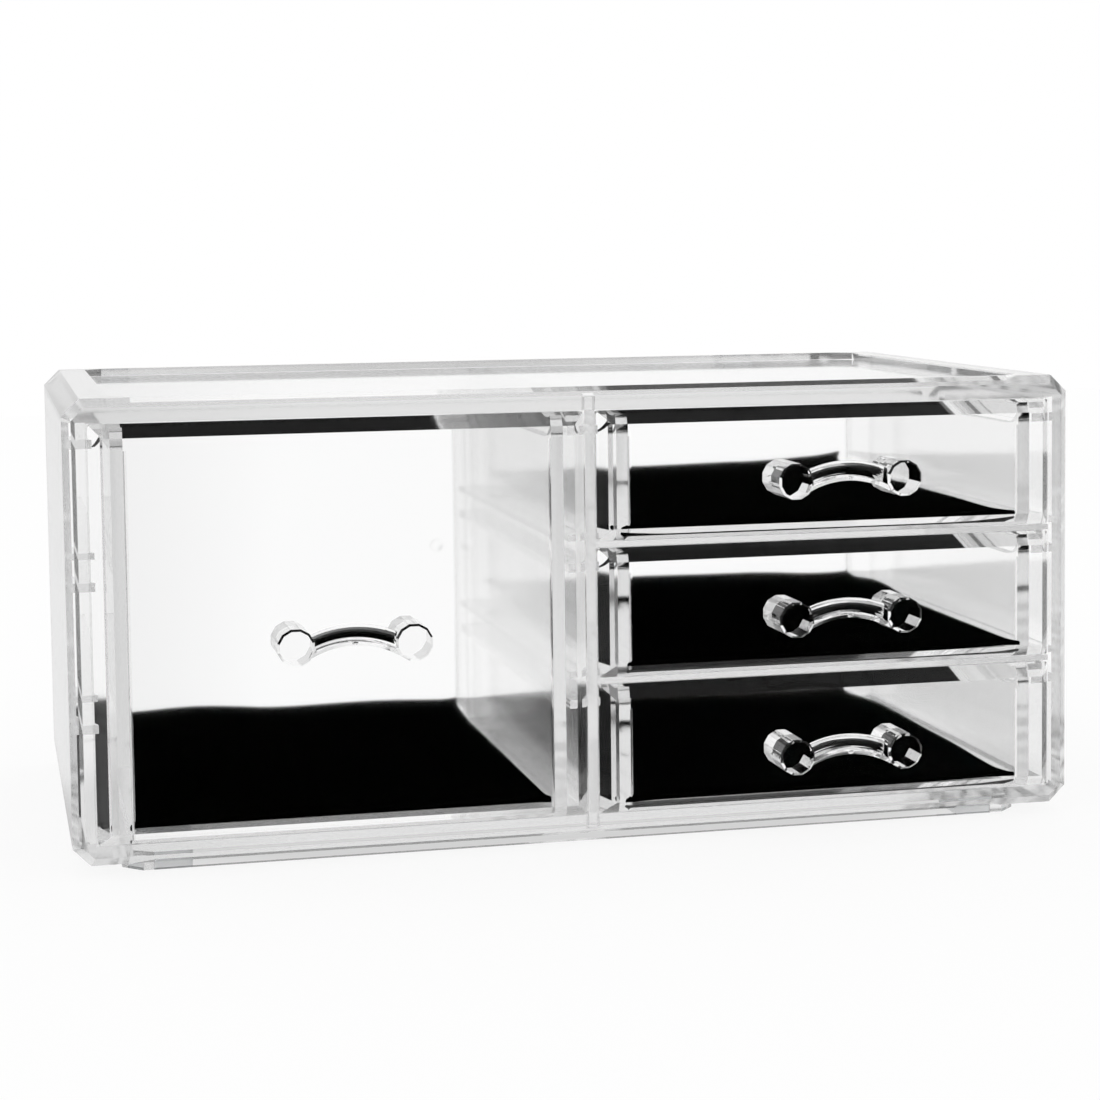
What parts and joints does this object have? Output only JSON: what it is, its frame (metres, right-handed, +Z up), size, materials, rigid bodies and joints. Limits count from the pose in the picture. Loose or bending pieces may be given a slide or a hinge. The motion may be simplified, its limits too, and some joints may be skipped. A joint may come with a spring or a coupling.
{
  "type": "cosmetics organizer with drawers",
  "caption": "Clear acrylic cosmetics organizer: a deep drawer beside a stack of shallow ones, with bevelled fronts, arched bar handles, black mats and a stacking rim.",
  "frame": {"origin": "centre of the bounding box on the plane that the feet stand on", "axes": "+X to the right seen from the front, along the width; -Y the way the drawers open; +Z up"},
  "size_m": [0.238, 0.1536, 0.1072],
  "materials": {
    "clear_acrylic": "clear, polished",
    "handle_acrylic": "clear, faceted, polished",
    "clear_rubber": "translucent, smooth",
    "black_velvet": "short pile on foam, matt"
  },
  "bodies": {
    "case": {"case_shell": "clear_acrylic", "divider": "clear_acrylic", "lower_shelf": "clear_acrylic", "upper_shelf": "clear_acrylic", "foot_front_left": "clear_rubber", "foot_front_right": "clear_rubber", "foot_back_left": "clear_rubber", "foot_back_right": "clear_rubber"},
    "large_drawer_unit": {"large_drawer": "clear_acrylic", "large_handle": "handle_acrylic", "large_mat": "black_velvet"},
    "lower_drawer_unit": {"lower_drawer": "clear_acrylic", "lower_handle": "handle_acrylic", "lower_mat": "black_velvet"},
    "middle_drawer_unit": {"middle_drawer": "clear_acrylic", "middle_handle": "handle_acrylic", "middle_mat": "black_velvet"},
    "upper_drawer_unit": {"upper_drawer": "clear_acrylic", "upper_handle": "handle_acrylic", "upper_mat": "black_velvet"}
  },
  "joints": [
    {"name": "large_slide", "type": "slide", "parent": "case", "child": "large_drawer_unit", "axis": [0, -1, 0], "range_m": [0, 0.11]},
    {"name": "lower_slide", "type": "slide", "parent": "case", "child": "lower_drawer_unit", "axis": [0, -1, 0], "range_m": [0, 0.11]},
    {"name": "middle_slide", "type": "slide", "parent": "case", "child": "middle_drawer_unit", "axis": [0, -1, 0], "range_m": [0, 0.11]},
    {"name": "upper_slide", "type": "slide", "parent": "case", "child": "upper_drawer_unit", "axis": [0, -1, 0], "range_m": [0, 0.11]}
  ]
}
